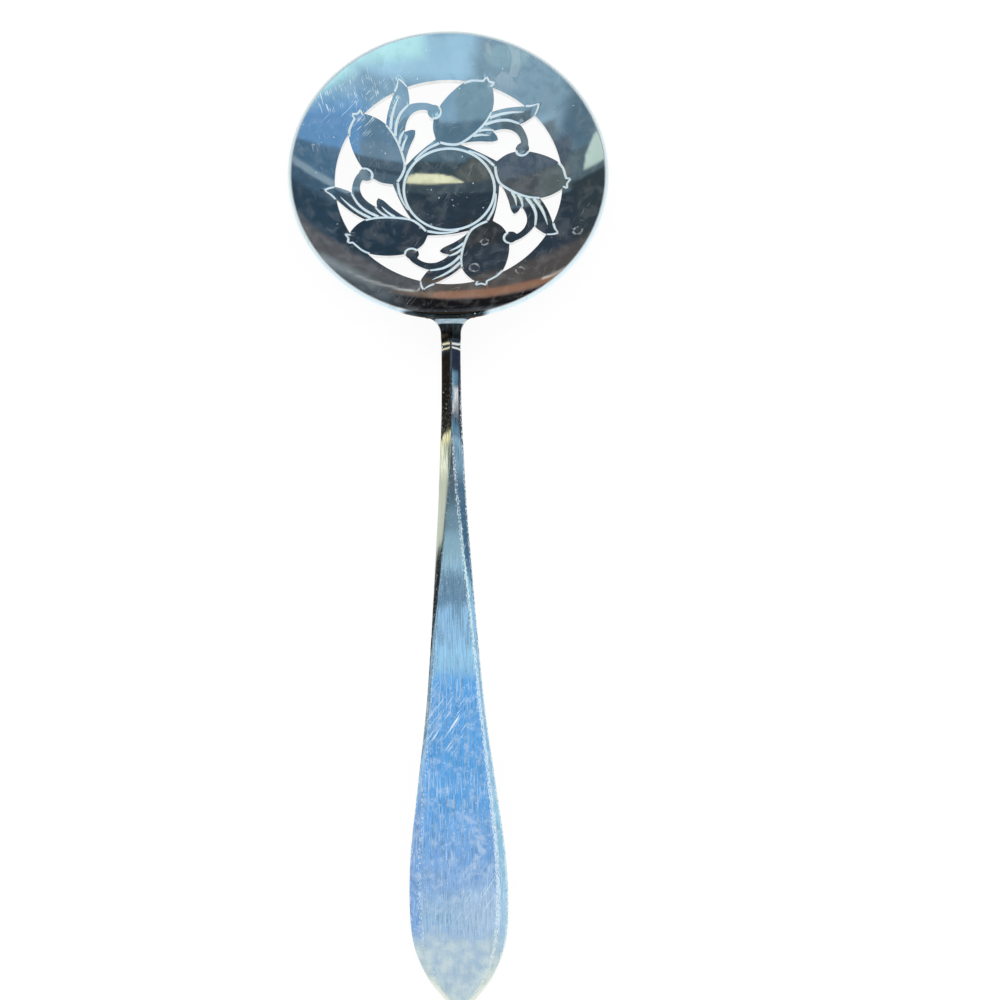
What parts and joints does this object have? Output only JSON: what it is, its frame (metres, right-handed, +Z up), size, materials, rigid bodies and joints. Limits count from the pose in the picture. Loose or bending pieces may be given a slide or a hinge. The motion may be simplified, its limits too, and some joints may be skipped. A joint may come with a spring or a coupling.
{
  "type": "tomato server",
  "caption": "Silver tomato server: a round dished bowl pierced with a whirl of fruits and leaves, on an arched faceted handle that widens to a pointed end",
  "frame": {"origin": "middle of the small flat under the bowl, where the bowl rests on the table", "axes": "+Z up out of the bowl; the handle runs along -Y from the bowl to its tip; +X to the right when the server is seen from above with its handle towards the viewer"},
  "size_m": [0.0652, 0.1931, 0.0184],
  "materials": {
    "silver": "polished silver with fine wear scratches"
  },
  "bodies": {
    "root": {"tomato_server": "silver"}
  },
  "joints": []
}
